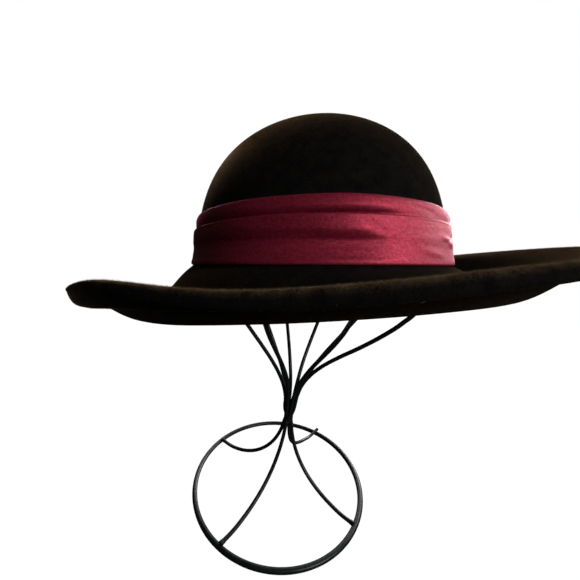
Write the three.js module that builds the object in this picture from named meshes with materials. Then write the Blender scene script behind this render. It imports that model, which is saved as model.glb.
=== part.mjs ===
// A wide-brimmed felt hat with a pleated satin band, resting on a wire hat stand.
// Millimetres, +Z up. Every place below is measured from the middle of the base ring, on the
// floor. The last step moves the whole so that its origin is under the middle of its outline.
// The hat's own frame has its origin at the middle of the band's lower edge.
// Angles around the hat and the stand are in degrees, counter-clockwise from +X.

import * as THREE from 'three';

// ---- driving dimensions: stand ----

const RING_RADIUS = 78;       // centre line of the base ring
const RING_WIRE = 4.3;        // thickness of the ring's wire
const RING_SEAM = { angle: 8, more: 0.2 };  // where its welded ends make it thicker
const WIRE = 3.2;             // thickness of the wire of the legs and ribs
const WIRE_SIDES = 8;
const RING_SIDES = 8;
const RING_STEPS = 64;
const LEG_STEPS = 18;
const RIB_STEPS = 26;
const GAP = 0.3;              // clearance between pieces that touch

const NECK = { x: 3.2, y: -0.4, low: 66, high: 81, radius: 2.9, lobe: 1.3 };
const HUB = { radius: 8, thickness: 3, sides: 24, clearance: 1.2 };

// The legs around the stand. One ends on top of the ring, and three against its inner side.
// A leg's angle turns by its sweep on the way up to the neck.
const LEGS = [
  { angle: 150, tip: 75.7, rest: 3.4, sweep: 11 },
  { angle: 60, tip: 80.5, rest: 6.7, sweep: 14 },
  { angle: -30, tip: 75.4, rest: 4, sweep: 2 },
  { angle: -120, tip: 75.7, rest: 4, sweep: 4 },
];

// A leg falls from the neck in one hollow curve. A rib rises from the neck in an S: it leaves
// upright, leans out and ends upright under the hat. Both pass through these heights.
const LEG_CURVE = { foot: 3, span: 79, low: 3, rise: 72, hollow: 0.55 };
const LEG_LEVELS = [4.6, 7, 11.5, 18, 26, 36, 46, 57, 65.7];
const RIB_CURVE = { start: 4.6, end: 72, low: 81, high: 205 };
const RIB_LEVELS = [81.3, 91, 104, 117, 130, 143, 156, 169, 183, 197];

// The ribs are spaced evenly round the neck and bent by hand: each turns a little to one side, its
// spread widens or narrows its course, and its delay sets how late it leans out.
const RIB_START = -30;
const RIB_STEP = -45;
const RIBS = [
  { turn: 0, spread: 1.2, delay: 1.2 },
  { turn: 8, spread: 1, delay: 1.1 },
  { turn: 5, spread: 1, delay: 1.1 },
  { turn: 0, spread: 0.95, delay: 1.1 },
  { turn: 0, spread: 0.85, delay: 1.1 },
  { turn: 5, spread: 1.04, delay: 1.1 },
  { turn: 8, spread: 1.05, delay: 1.1 },
  { turn: 8, spread: 1, delay: 1.1 },
];
const TURNS = { from: 84, full: 122 };     // heights between which a rib's turn sets in
const SPREADS = { from: 100, full: 160 };  // the same for its spread
const CAGE_WIDTH = 0.92;      // width of the hidden cage over the crown's width
const CAGE_LEVELS = [72, 54, 37, 22];  // polar angles of the cage's hidden points

// ---- driving dimensions: hat ----

const FELT = 2.2;             // thickness of the felt
const HAT = { x: 8.9, y: 0.3, z: 212.3, drop: 7.7, rise: 5.6 };
const CROWN = {
  length: 99.9,               // half length of the oval at the band's lower edge
  width: 89,                  // half width there
  axis: 135,                  // direction of the long axis
  height: 106,
  shoulder: 3.54,             // exponents of the dome's superellipse
  fullness: 1.96,
  taper: 0.135,               // share of its width that the side loses up to the top
};
const CUFF_THICKNESS = 4.8;   // at the raw edge
const ROLL_THICKNESS = 6.6;   // at the fold, where the doubled felt is roundest
const NOSE = 2.2;             // how far the fold bulges past the rim

// The brim, every 30 degrees from the front, which points along the crown's long axis: its heights
// at the trough, which is its lowest line, at the cuff's raw edge and at the rim.
const FRONT = 140;
const BRIM_SECTIONS = [
  { trough: -26, edge: -30, rim: -28 },
  { trough: -28, edge: -26, rim: -21 },
  { trough: -32, edge: -22, rim: -12 },
  { trough: -28, edge: -15.5, rim: -8 },
  { trough: -21.5, edge: -9.5, rim: -7.5 },
  { trough: -16.5, edge: -2.5, rim: 0.5 },
  { trough: -14.5, edge: 1.5, rim: 8 },
  { trough: -10.5, edge: 6.5, rim: 12.5 },
  { trough: -11, edge: 7, rim: 11.5 },
  { trough: -16, edge: 0, rim: 5 },
  { trough: -20, edge: -10, rim: -4 },
  { trough: -24, edge: -22, rim: -17 },
];

// The brim's other measurements have a plain value, and grow around one turn of the hat:
// width      in plan, from the crown to the rim
// hump       how far the rim stands above its height in the sections
// valley     in plan, from the crown to the trough
// fall       steepness of the brim where it leaves the crown
// bulge      how far the cuff stands proud of the brim halfway down
const SWELLS = {
  width: { plain: 66.5, more: -1, turn: 222, spread: 18 },
  hump: { plain: 0, more: 3, turn: 241, spread: 16 },
  valley: { plain: 32, more: 6, turn: 165, spread: 55 },
  fall: { plain: 1, more: -0.5, turn: 180, spread: 45 },
  bulge: { plain: 0.3, more: 4, turn: 210, spread: 28 },
};
const CUFF_WIDTH = 10;        // in plan, how far the rim's felt is folded back to its raw edge

const COLUMNS = 48;           // sections around the hat and the band
const CROWN_ROWS = 12;
const ROOT_ROWS = 5;
const SLOPE_ROWS = 4;
const CUFF_ROWS = 4;

// The band's outline from its lower to its upper edge: share of its height, and distance
// off the felt.
const BAND_FOLDS = [
  { share: 0.02, standoff: 1.3 },
  { share: 0.05, standoff: 2.2 },
  { share: 0.24, standoff: 2.4 },
  { share: 0.42, standoff: 2 },
  { share: 0.52, standoff: 1.5 },
  { share: 0.65, standoff: 2.2 },
  { share: 0.79, standoff: 2.2 },
  { share: 0.82, standoff: 1.3 },
  { share: 0.96, standoff: 1.3 },
  { share: 1, standoff: 0.8 },
];

const BAND_GAP = 0.4;         // between the band and the felt

// Height of the band's upper edge, every 30 degrees from +X.
const BAND_HEIGHTS = [33, 34, 34.5, 34.5, 34.5, 34.5, 35, 35.5, 35.5, 35, 34, 32.5];

// ---- materials ----

const felt = () => new THREE.MeshStandardMaterial({ color: 0x1a120c, roughness: 0.95, metalness: 0 });
const satin = () => new THREE.MeshStandardMaterial({ color: 0x8a2440, roughness: 0.42, metalness: 0 });
const blackWire = () => new THREE.MeshStandardMaterial({ color: 0x101312, roughness: 0.4, metalness: 0.2 });

// ---- helpers ----

const UP = new THREE.Vector3(0, 0, 1);
const radians = THREE.MathUtils.degToRad;

function named(name, geometry, material) {
  const mesh = new THREE.Mesh(geometry, material);
  mesh.name = name;
  return mesh;
}

// A cubic between two values, t from 0 to 1, with its rates of change at both ends.
function hermite(t, start, startRate, end, endRate) {
  const t2 = t * t;
  const t3 = t2 * t;
  return (2 * t3 - 3 * t2 + 1) * start + (t3 - 2 * t2 + t) * startRate
    + (3 * t2 - 2 * t3) * end + (t3 - t2) * endRate;
}

// A smooth closed course through values that are evenly spaced around a full turn.
function around(values, degrees) {
  const count = values.length;
  const place = THREE.MathUtils.euclideanModulo(degrees, 360) / 360 * count;
  const k = Math.floor(place) % count;
  const at = (i) => values[(i + count) % count];
  const rate = (i) => (at(i + 1) - at(i - 1)) / 2;
  return hermite(place - Math.floor(place), at(k), rate(k), at(k + 1), rate(k + 1));
}

// A point of a section, which stands upright at an angle around the Z axis.
function sectionPoint(point, degrees) {
  return new THREE.Vector3(point.x, 0, point.y).applyAxisAngle(UP, radians(degrees));
}

function roundSection(radius, sides) {
  const points = [];
  for (let i = 0; i < sides; i += 1) {
    const turn = (i + 0.5) / sides * 2 * Math.PI;
    points.push(new THREE.Vector2(radius * Math.cos(turn), radius * Math.sin(turn)));
  }
  return points;
}

function wireAlong(points, steps) {
  const course = new THREE.CatmullRomCurve3(points, false, 'centripetal');
  const section = new THREE.Shape(roundSection(WIRE / 2, WIRE_SIDES));
  return new THREE.ExtrudeGeometry(section, { steps, bevelEnabled: false, extrudePath: course });
}

// A closed body from rings of points. A pole closes it at both ends, or else the rings
// join up, the last one with the first.
function bodyFromRings(rings, poles) {
  const positions = [];
  const index = [];
  const columns = rings[0].length;
  rings.forEach((ring) => ring.forEach((p) => positions.push(p.x, p.y, p.z)));
  const last = rings.length - 1;
  const joins = poles ? last : rings.length;
  for (let row = 0; row < joins; row += 1) {
    const next = (row + 1) % rings.length;
    for (let i = 0; i < columns; i += 1) {
      const j = (i + 1) % columns;
      const a = row * columns + i;
      const b = row * columns + j;
      const c = next * columns + i;
      const d = next * columns + j;
      index.push(a, c, b, b, c, d);
    }
  }
  if (poles) {
    const top = positions.length / 3;
    poles.forEach((p) => positions.push(p.x, p.y, p.z));
    for (let i = 0; i < columns; i += 1) {
      const j = (i + 1) % columns;
      index.push(top, i, j);
      index.push(top + 1, last * columns + j, last * columns + i);
    }
  }
  const geometry = new THREE.BufferGeometry();
  geometry.setAttribute('position', new THREE.Float32BufferAttribute(positions, 3));
  geometry.setIndex(index);
  geometry.computeVertexNormals();
  return geometry;
}

// ---- shape of the hat ----

// The crown's plan oval at the band's lower edge.
function ovalRadius(degrees) {
  const turn = radians(degrees - CROWN.axis);
  return 1 / Math.hypot(Math.cos(turn) / CROWN.length, Math.sin(turn) / CROWN.width);
}

// A point of the dome at a polar angle, 0 at its top and 90 degrees at the band's lower edge.
function domePoint(degrees, polar, widthShare = 1, height = CROWN.height) {
  const turn = radians(polar);
  const rise = Math.cos(turn) ** (2 / CROWN.shoulder);
  const reach = Math.sin(turn) ** (2 / CROWN.fullness) * (1 - CROWN.taper * rise);
  return new THREE.Vector2(ovalRadius(degrees) * reach * widthShare, height * rise);
}

// The dome's radius at a height above the band's lower edge.
function crownRadius(degrees, height) {
  const rise = Math.min(height / CROWN.height, 1);
  const reach = (1 - rise ** CROWN.shoulder) ** (1 / CROWN.fullness) * (1 - CROWN.taper * rise);
  return ovalRadius(degrees) * reach;
}

// The brim's measurements in one section.
function swell(degrees, { plain, more, turn, spread }) {
  const away = THREE.MathUtils.euclideanModulo(degrees - turn + 180, 360) - 180;
  return plain + more * Math.exp(-((away / spread) ** 2));
}

function brimAt(degrees) {
  const height = (part) => around(BRIM_SECTIONS.map((section) => section[part]), degrees - FRONT);
  const size = (part) => swell(degrees, SWELLS[part]);
  return {
    trough: height("trough"),
    edge: height("edge"),
    rim: height("rim") + size("hump"),
    width: size("width"),
    valley: size("valley"),
    fall: size("fall"),
    bulge: size("bulge"),
    cuff: CUFF_WIDTH,
  };
}

// The brim's upper surface: its height at a distance from the crown.
function brimHeight({ width, valley, fall, cuff, trough, edge, rim }, distance) {
  if (distance < valley) {
    return hermite(distance / valley, 0, fall * trough, trough, 0);
  }
  const cuffLine = width - cuff;
  const slopeWidth = cuffLine - valley;
  const cuffSlope = (rim - edge) / cuff;
  const edgeSlope = ((edge - trough) / slopeWidth + cuffSlope) / 2;
  if (distance < cuffLine) {
    return hermite((distance - valley) / slopeWidth, trough, 0, edge, edgeSlope * slopeWidth);
  }
  return hermite((distance - cuffLine) / cuff, edge, edgeSlope * cuff, rim, cuffSlope * cuff);
}

// Distances from the crown at which the brim has rows of points.
function brimRows({ width, valley, cuff }) {
  const steps = (from, to, count) => Array.from(
    { length: count },
    (_, k) => THREE.MathUtils.lerp(from, to, (k + 1) / count),
  );
  return [
    ...steps(0, valley, ROOT_ROWS),
    ...steps(valley, width - cuff, SLOPE_ROWS),
    ...steps(width - cuff, width, CUFF_ROWS),
  ];
}

// The upper surface in one section, from just beside the dome's top to the rim.
function upperProfile(degrees) {
  const points = [];
  for (let k = 1; k <= CROWN_ROWS; k += 1) {
    points.push(domePoint(degrees, 90 * k / CROWN_ROWS));
  }
  const root = points[points.length - 1].x;
  const brim = brimAt(degrees);
  brimRows(brim).forEach((distance) => {
    points.push(new THREE.Vector2(root + distance, brimHeight(brim, distance)));
  });
  return points;
}

// Points moved square to their line, into the felt.
function offsetProfile(points, distanceAt) {
  return points.map((point, i) => {
    const before = points[Math.max(i - 1, 0)];
    const after = points[Math.min(i + 1, points.length - 1)];
    const along = after.clone().sub(before).normalize();
    return point.clone().addScaledVector(new THREE.Vector2(along.y, -along.x), distanceAt(i));
  });
}

// One whole section: the upper surface, the round rim, the cuff's face and its raw edge,
// then the underside and the inside of the crown back up to the top.
function hatSection(degrees) {
  const upper = upperProfile(degrees);
  const end = upper.length - 1;
  const roll = (i) => Math.max(1 - (end - i) / CUFF_ROWS, 0);
  const { bulge } = brimAt(degrees);
  const under = offsetProfile(upper, () => FELT);
  const doubled = (i) => THREE.MathUtils.lerp(CUFF_THICKNESS, ROLL_THICKNESS, roll(i))
    + bulge * Math.sin(Math.PI * roll(i));
  const cuffFace = offsetProfile(upper, doubled);
  const outward = upper[end].clone().sub(upper[end - 1]).normalize();
  const nose = upper[end].clone().lerp(cuffFace[end], 0.5).addScaledVector(outward, NOSE);
  const cuff = cuffFace.slice(end - CUFF_ROWS).reverse();
  const plain = under.slice(0, end - CUFF_ROWS + 1).reverse();
  return [...upper, nose, ...cuff, ...plain];
}

function hatBody() {
  const sections = [];
  for (let i = 0; i < COLUMNS; i += 1) {
    const degrees = 360 * i / COLUMNS;
    sections.push(hatSection(degrees).map((p) => sectionPoint(p, degrees)));
  }
  const rings = sections[0].map((_, row) => sections.map((section) => section[row]));
  const top = new THREE.Vector3(0, 0, CROWN.height);
  const ceiling = new THREE.Vector3(0, 0, CROWN.height - FELT);
  return bodyFromRings(rings, [top, ceiling]);
}

// The pleated band lies around the crown, clear of the felt by a small gap.
function bandRing(share, standoff) {
  const points = [];
  for (let i = 0; i < COLUMNS; i += 1) {
    const degrees = 360 * i / COLUMNS;
    const height = share * around(BAND_HEIGHTS, degrees);
    const reach = crownRadius(degrees, height) + standoff;
    points.push(sectionPoint(new THREE.Vector2(reach, height), degrees));
  }
  return points;
}

function satinBand() {
  const outside = [...BAND_FOLDS].reverse().map((fold) => bandRing(fold.share, fold.standoff));
  const inside = BAND_FOLDS.map((fold) => bandRing(fold.share, BAND_GAP));
  return bodyFromRings([...outside, ...inside], null);
}

// ---- shape of the stand ----

const RING_LEVEL = RING_WIRE / 2 * Math.cos(Math.PI / RING_SIDES);

function baseRing() {
  const profile = roundSection(RING_WIRE / 2, RING_SIDES);
  profile.forEach((point) => point.setX(point.x + RING_RADIUS));
  profile.push(profile[0].clone());
  const geometry = new THREE.LatheGeometry(profile, RING_STEPS);
  geometry.rotateX(Math.PI / 2);
  geometry.translate(0, 0, RING_LEVEL);
  const position = geometry.attributes.position;
  for (let i = 0; i < position.count; i += 1) {
    const reach = Math.hypot(position.getX(i), position.getY(i));
    const turn = Math.atan2(position.getY(i), position.getX(i)) - radians(RING_SEAM.angle);
    const fuller = 1 + RING_SEAM.more * Math.max(0, Math.cos(turn)) ** 2;
    const moved = (RING_RADIUS + (reach - RING_RADIUS) * fuller) / reach;
    position.setX(i, position.getX(i) * moved);
    position.setY(i, position.getY(i) * moved);
    position.setZ(i, position.getZ(i) * fuller);
  }
  return geometry;
}

function legReach(height) {
  const { foot, span, low, rise, hollow } = LEG_CURVE;
  const share = ((height - low) / rise) ** hollow;
  return foot + span * (1 - share) ** (1 / hollow);
}

function legPoints({ angle, tip, rest, sweep }) {
  const falling = LEG_LEVELS.map((height) => ({ reach: legReach(height), height }));
  return [{ reach: tip, height: rest }, ...falling].map(({ reach, height }) => {
    const inward = 1 - reach / tip;
    const point = sectionPoint(new THREE.Vector2(reach, height), angle + sweep * inward);
    return point.add(new THREE.Vector3(NECK.x * inward, NECK.y * inward, 0));
  });
}

// The cage's axis runs from the neck to the middle of the hat.
function cageCentre(height) {
  const share = (height - NECK.high) / (HAT.z - NECK.high);
  return new THREE.Vector2(
    THREE.MathUtils.lerp(NECK.x, HAT.x, share),
    THREE.MathUtils.lerp(NECK.y, HAT.y, share),
  );
}

const CAGE_HEIGHT = CROWN.height - FELT - HUB.clearance - HUB.thickness / 2;

function ribReach(height, delay) {
  const { start, end, low, high } = RIB_CURVE;
  const share = ((height - low) / (high - low)) ** delay;
  return THREE.MathUtils.lerp(start, end, THREE.MathUtils.smoothstep(share, 0, 1));
}

function ribPoints(number, hatPlace) {
  const { smoothstep, lerp } = THREE.MathUtils;
  const { turn, spread, delay } = RIBS[number];
  const angle = RIB_START + RIB_STEP * number;
  const open = RIB_LEVELS.map((height) => {
    const wide = ribReach(height, delay)
      * lerp(1, spread, smoothstep(height, SPREADS.from, SPREADS.full));
    const centre = cageCentre(height);
    const degrees = angle + turn * smoothstep(height, TURNS.from, TURNS.full);
    const point = sectionPoint(new THREE.Vector2(wide, height), degrees);
    return point.add(new THREE.Vector3(centre.x, centre.y, 0));
  });
  const degrees = angle + turn;
  const hidden = CAGE_LEVELS.map((polar) => domePoint(degrees, polar, CAGE_WIDTH, CAGE_HEIGHT));
  hidden.push(new THREE.Vector2(HUB.radius + GAP, CAGE_HEIGHT));
  return [...open, ...hidden.map((p) => sectionPoint(p, degrees).applyMatrix4(hatPlace))];
}

// The eight wires fused side by side, with a groove between each two of them.
function neckWeld() {
  const outline = [];
  const pointsPerLobe = 6;
  const count = RIBS.length * pointsPerLobe;
  for (let i = 0; i < count; i += 1) {
    const turn = 2 * Math.PI * i / count;
    const radius = NECK.radius + NECK.lobe * Math.abs(Math.cos(turn * RIBS.length / 2));
    outline.push(new THREE.Vector2(radius * Math.cos(turn), radius * Math.sin(turn)));
  }
  const depth = NECK.high - NECK.low;
  const geometry = new THREE.ExtrudeGeometry(new THREE.Shape(outline), { depth, bevelEnabled: false });
  geometry.translate(NECK.x, NECK.y, NECK.low);
  return geometry;
}

function ribHub() {
  const geometry = new THREE.CylinderGeometry(HUB.radius, HUB.radius, HUB.thickness, HUB.sides);
  geometry.rotateX(Math.PI / 2);
  geometry.translate(0, 0, CAGE_HEIGHT);
  return geometry;
}

// ---- assembly ----

const part = new THREE.Group();

const hat = new THREE.Group();
hat.position.set(HAT.x, HAT.y, HAT.z);
hat.rotation.set(radians(-HAT.drop), radians(-HAT.rise), 0, 'YXZ');
hat.add(named('hat_body', hatBody(), felt()));
hat.add(named('satin_band', satinBand(), satin()));
hat.add(named('rib_hub', ribHub(), blackWire()));
hat.updateMatrix();
part.add(hat);

part.add(named('base_ring', baseRing(), blackWire()));
part.add(named('neck_weld', neckWeld(), blackWire()));
LEGS.forEach((leg, i) => {
  part.add(named(`stand_leg_${i + 1}`, wireAlong(legPoints(leg), LEG_STEPS), blackWire()));
});
RIBS.forEach((_, i) => {
  part.add(named(`stand_rib_${i + 1}`, wireAlong(ribPoints(i, hat.matrix), RIB_STEPS), blackWire()));
});

// The whole stands over the middle of its own outline.
const outline = new THREE.Box3().setFromObject(part, true);
const middle = outline.getCenter(new THREE.Vector3());
part.position.set(-middle.x, -middle.y, -outline.min.z);

export default part;
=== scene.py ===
# A wide-brimmed felt hat with a pleated satin band, on a black wire hat stand.
# Shapes are worked out in millimetres, from the middle of the base ring on the floor, and are
# turned into metres of the frame at the end. Angles are counter-clockwise from +X.
import math

import bpy
import numpy as np
from mathutils import Matrix, Vector


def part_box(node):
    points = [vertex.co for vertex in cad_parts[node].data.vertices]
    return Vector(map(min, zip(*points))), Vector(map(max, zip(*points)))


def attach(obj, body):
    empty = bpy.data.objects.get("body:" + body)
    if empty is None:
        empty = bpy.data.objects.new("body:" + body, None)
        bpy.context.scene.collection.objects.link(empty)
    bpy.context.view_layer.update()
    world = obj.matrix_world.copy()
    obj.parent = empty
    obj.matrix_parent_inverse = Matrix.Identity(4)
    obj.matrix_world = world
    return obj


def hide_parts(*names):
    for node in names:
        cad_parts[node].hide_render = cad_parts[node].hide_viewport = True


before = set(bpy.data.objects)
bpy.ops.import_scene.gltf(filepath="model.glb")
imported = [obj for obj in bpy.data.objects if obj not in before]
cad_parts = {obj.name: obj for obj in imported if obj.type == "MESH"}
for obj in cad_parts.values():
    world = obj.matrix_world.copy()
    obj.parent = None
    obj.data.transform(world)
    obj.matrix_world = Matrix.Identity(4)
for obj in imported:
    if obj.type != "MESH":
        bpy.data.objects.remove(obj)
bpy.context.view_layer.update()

MM = 0.001

# ---- sizes of the stand ----

RING_RADIUS = 78.0
RING_WIRE = 4.3
RING_STEPS = 160
RING_SEAM = {"angle": 8, "more": 0.2}
WIRE = 3.3
NECK = {"x": 3.2, "y": -0.4, "low": 66.0, "high": 81.0, "bundle": 2.5}
HUB = {"radius": 8.0, "thickness": 3.0, "clearance": 1.2}

# One leg ends on top of the ring, and three against its inner side. Each has its tip's distance
# from the axis and its height, how far it sweeps round towards the neck, and its weld bead's size.
LEGS = [
    {"angle": 150, "tip": 75.7, "rest": 3.4, "sweep": 11, "bead": 0.4},
    {"angle": 60, "tip": 80.5, "rest": 6.7, "sweep": 14, "bead": 0.0},
    {"angle": -30, "tip": 75.4, "rest": 4.0, "sweep": 2, "bead": 0.3},
    {"angle": -120, "tip": 75.7, "rest": 4.0, "sweep": 4, "bead": 0.3},
]
# Where a leg with a weld bead runs into the ring, how long the bead is, and where legs end in the neck.
LEG_ENDS = {"into_ring": 1.1, "bead_length": 2.6, "reach": 2.2, "height": 71.0}
# A leg falls from the neck in one hollow curve. A rib rises from the neck in an S: it leaves
# upright, leans out and ends upright under the hat.
LEG_CURVE = {"foot": 3.0, "span": 79.0, "low": 3.0, "rise": 72.0, "hollow": 0.55}
LEG_LEVELS = (4.6, 7, 11.5, 18, 26, 36, 46, 57, 65.7)
RIB_CURVE = {"start": 4.6, "end": 72.0, "low": 81.0, "high": 205.0}
RIB_LEVELS = (81.3, 91, 104, 117, 130, 143, 156, 169, 183, 197)
RIB_ROOTS = (67.0, 73.0)
# The ribs are spaced evenly round the neck and bent by hand: each turns a little to one side, and
# its spread widens or narrows its course, and its delay sets how late it leans out.
RIB_START, RIB_STEP = -30, -45
RIBS = [
    {"turn": 0, "spread": 1.2, "delay": 1.2},
    {"turn": 8, "spread": 1.0, "delay": 1.1},
    {"turn": 5, "spread": 1.0, "delay": 1.1},
    {"turn": 0, "spread": 0.95, "delay": 1.1},
    {"turn": 0, "spread": 0.85, "delay": 1.1},
    {"turn": 5, "spread": 1.04, "delay": 1.1},
    {"turn": 8, "spread": 1.05, "delay": 1.1},
    {"turn": 8, "spread": 1.0, "delay": 1.1},
]
# Heights between which a rib's turn and its spread set in.
TURNS, SPREADS = (84.0, 122.0), (100.0, 160.0)
# Under the crown the ribs follow a narrower dome: its share of the crown's width, and the polar
# angles of the ribs' points on it. They end a little inside the hub's edge.
CAGE_WIDTH = 0.92
CAGE_LEVELS = [72, 54, 37, 22]
INTO_HUB = 1
WIRE_STEPS = 6

# ---- sizes of the hat ----

FELT = 2.2
HAT_AT = np.array([8.9, 0.3, 212.3])
HAT_DROP, HAT_RISE = 7.7, 5.6
CROWN_LENGTH, CROWN_WIDTH, CROWN_AXIS = 99.9, 89.0, 135.0
CROWN_HEIGHT, SHOULDER, FULLNESS, TAPER = 106.0, 3.54, 1.96, 0.135
CUFF_THICKNESS, ROLL_THICKNESS = 4.8, 6.6
NOSE, NOSE_LOSS, CREST = 2.6, 0.15, 1.0
# The brim every 30 degrees from the front: its heights at its valley, at the cuff's raw edge and
# at the rim.
FRONT = 140.0
HEIGHTS = ("trough", "edge", "rim")
BRIM = [
    (-26, -30, -28),
    (-28, -26, -21),
    (-32, -22, -12),
    (-28, -15.5, -8),
    (-21.5, -9.5, -7.5),
    (-16.5, -2.5, 0.5),
    (-14.5, 1.5, 8),
    (-10.5, 6.5, 12.5),
    (-11, 7, 11.5),
    (-16, 0, 5),
    (-20, -10, -4),
    (-24, -22, -17),
]
# The brim's other measurements: its width, a hump of the rim, how far out its valley lies, how
# steeply it leaves the crown, and how far its folded cuff stands proud. Each has a plain value that
# grows or shrinks around one turn of the hat.
CUFF_WIDTH = 10.0
SWELLS = {
    "width": {"plain": 66.5, "more": -1, "turn": 222, "spread": 18},
    "hump": {"plain": 0, "more": 3, "turn": 241, "spread": 16},
    "valley": {"plain": 32, "more": 6, "turn": 165, "spread": 55},
    "fall": {"plain": 1.0, "more": -0.5, "turn": 180, "spread": 45},
    "bulge": {"plain": 0.3, "more": 4, "turn": 210, "spread": 28},
}

COLUMNS = 384

# ---- places in the frame ----

ring_low, ring_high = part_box("base_ring")
STAND_AXIS = np.array([(ring_low.x + ring_high.x) / 2, (ring_low.y + ring_high.y) / 2, 0.0])
HAT_TURN = np.array(
    Matrix.Rotation(math.radians(-HAT_RISE), 3, "Y") @ Matrix.Rotation(math.radians(-HAT_DROP), 3, "X")
)


def in_frame(points):
    """Points in millimetres around the stand, as metres of the frame."""
    return np.asarray(points, float) * MM + STAND_AXIS


def on_hat(points):
    """Points of the hat's own frame, around the stand."""
    return np.asarray(points, float) @ HAT_TURN.T + HAT_AT


# ---- curves ----

def hermite(t, start, start_rate, end, end_rate):
    """A cubic that leaves its start and reaches its end at the given rates."""
    t2, t3 = t * t, t * t * t
    return ((2 * t3 - 3 * t2 + 1) * start + (t3 - 2 * t2 + t) * start_rate
            + (3 * t2 - 2 * t3) * end + (t3 - t2) * end_rate)


def around(values, degrees):
    """A smooth closed course through values that are evenly spaced around a full turn."""
    values = np.asarray(values, float)
    count = len(values)
    place = np.mod(degrees, 360.0) / 360.0 * count
    k = np.floor(place).astype(int)
    rates = (np.roll(values, -1) - np.roll(values, 1)) / 2
    a, b = k % count, (k + 1) % count
    return hermite(place - k, values[a], rates[a], values[b], rates[b])


def smooth_course(points, per_span):
    """A centripetal spline through points."""
    p = np.asarray(points, float)
    p = np.vstack([2 * p[0] - p[1], p, 2 * p[-1] - p[-2]])
    knots = np.concatenate([[0], np.cumsum(np.sqrt(np.linalg.norm(np.diff(p, axis=0), axis=1)))])
    out = []
    for i in range(1, len(p) - 2):
        t = np.linspace(knots[i], knots[i + 1], per_span, endpoint=False)[:, None]
        k0, k1, k2, k3 = knots[i - 1:i + 3]
        a1 = (k1 - t) / (k1 - k0) * p[i - 1] + (t - k0) / (k1 - k0) * p[i]
        a2 = (k2 - t) / (k2 - k1) * p[i] + (t - k1) / (k2 - k1) * p[i + 1]
        a3 = (k3 - t) / (k3 - k2) * p[i + 1] + (t - k2) / (k3 - k2) * p[i + 2]
        b1 = (k2 - t) / (k2 - k0) * a1 + (t - k0) / (k2 - k0) * a2
        b2 = (k3 - t) / (k3 - k1) * a2 + (t - k1) / (k3 - k1) * a3
        out.append((k2 - t) / (k2 - k1) * b1 + (t - k1) / (k2 - k1) * b2)
    return np.vstack(out + [p[-2:-1]])


def polar(reach, height, degrees):
    """Points by their distance from an axis, their height and their turn around it."""
    turn = np.radians(degrees)
    reach, height, turn = np.broadcast_arrays(reach, height, turn)
    return np.stack([reach * np.cos(turn), reach * np.sin(turn), height], axis=-1)


def soft_noise(rng, shape, softness):
    """Seeded noise that is soft along both axes and closes on itself, about -1 to 1."""
    waves = np.fft.fft2(rng.standard_normal(shape))
    fy = np.fft.fftfreq(shape[0])[:, None] * softness[0]
    fx = np.fft.fftfreq(shape[1])[None, :] * softness[1]
    field = np.real(np.fft.ifft2(waves * np.exp(-2 * np.pi ** 2 * (fy ** 2 + fx ** 2))))
    return field / (2.5 * field.std())


# ---- making meshes ----

def mesh_object(name, points, faces):
    mesh = bpy.data.meshes.new(name)
    mesh.from_pydata([tuple(p) for p in points], [], faces)
    mesh.validate()
    mesh.shade_smooth()
    piece = bpy.data.objects.new(name, mesh)
    bpy.context.scene.collection.objects.link(piece)
    return piece


def shell_from_rings(name, rings, poles=None, along=None):
    """A closed mesh from rings of points. Two poles close it, or the last ring joins the first.
    With the rings' places along the cloth, it gets a flat map of the cloth in metres."""
    count, columns, _ = rings.shape
    points = rings.reshape(-1, 3)
    joins = count - 1 if poles is not None else count
    row = np.arange(joins)[:, None] * columns
    following = (np.arange(joins)[:, None] + 1) % count * columns
    here, beside = np.arange(columns)[None, :], (np.arange(columns)[None, :] + 1) % columns
    quads = np.stack([row + here, following + here, following + beside, row + beside], axis=-1)
    faces = [tuple(q) for q in quads.reshape(-1, 4).tolist()]
    if poles is not None:
        top = len(points)
        points = np.vstack([points, poles])
        last = (count - 1) * columns
        for i in range(columns):
            j = (i + 1) % columns
            faces.append((top, i, j))
            faces.append((top + 1, last + j, last + i))
    piece = mesh_object(name, in_frame(points), faces)
    if along is not None:
        turn = np.linalg.norm(rings[0] - rings[0].mean(axis=0), axis=1).mean() * 2 * math.pi * MM
        across = np.append(along, along[-1] + (along[1] - along[0])) * MM
        column = np.broadcast_to(np.arange(columns)[None, :], (joins, columns))
        u = np.stack([column, column, column + 1, column + 1], axis=-1) * turn / columns
        low, high = across[:joins, None], across[1:joins + 1, None]
        v = np.stack(np.broadcast_arrays(low, high, high, low), axis=-1) + 0 * u
        flat = piece.data.uv_layers.new(name="cloth")
        flat.data.foreach_set("uv", np.stack([u, v], axis=-1).ravel())
    return piece


# ---- shape of the felt ----

def oval_radius(degrees):
    """The crown's oval at its foot."""
    turn = np.radians(degrees - CROWN_AXIS)
    return 1 / np.hypot(np.cos(turn) / CROWN_LENGTH, np.sin(turn) / CROWN_WIDTH)


def dome_point(degrees, polar_angle, width_share=1.0, height=CROWN_HEIGHT):
    """A point of the crown's dome by its polar angle, as (distance from the axis, height)."""
    turn = np.radians(polar_angle)
    rise = np.cos(turn) ** (2 / SHOULDER)
    reach = np.sin(turn) ** (2 / FULLNESS) * (1 - TAPER * rise)
    return oval_radius(degrees) * reach * width_share, height * rise


def crown_radius(degrees, height):
    """How far the crown's outer face is from the axis at a height."""
    rise = np.clip(height / CROWN_HEIGHT, 0, 1)
    reach = (1 - rise ** SHOULDER) ** (1 / FULLNESS) * (1 - TAPER * rise)
    return oval_radius(degrees) * reach


def swell(degrees, plain, more, turn, spread):
    """A plain value that grows or shrinks around one turn of the hat."""
    away = (degrees - turn + 180) % 360 - 180
    return plain + more * math.exp(-(away / spread) ** 2)


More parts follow.
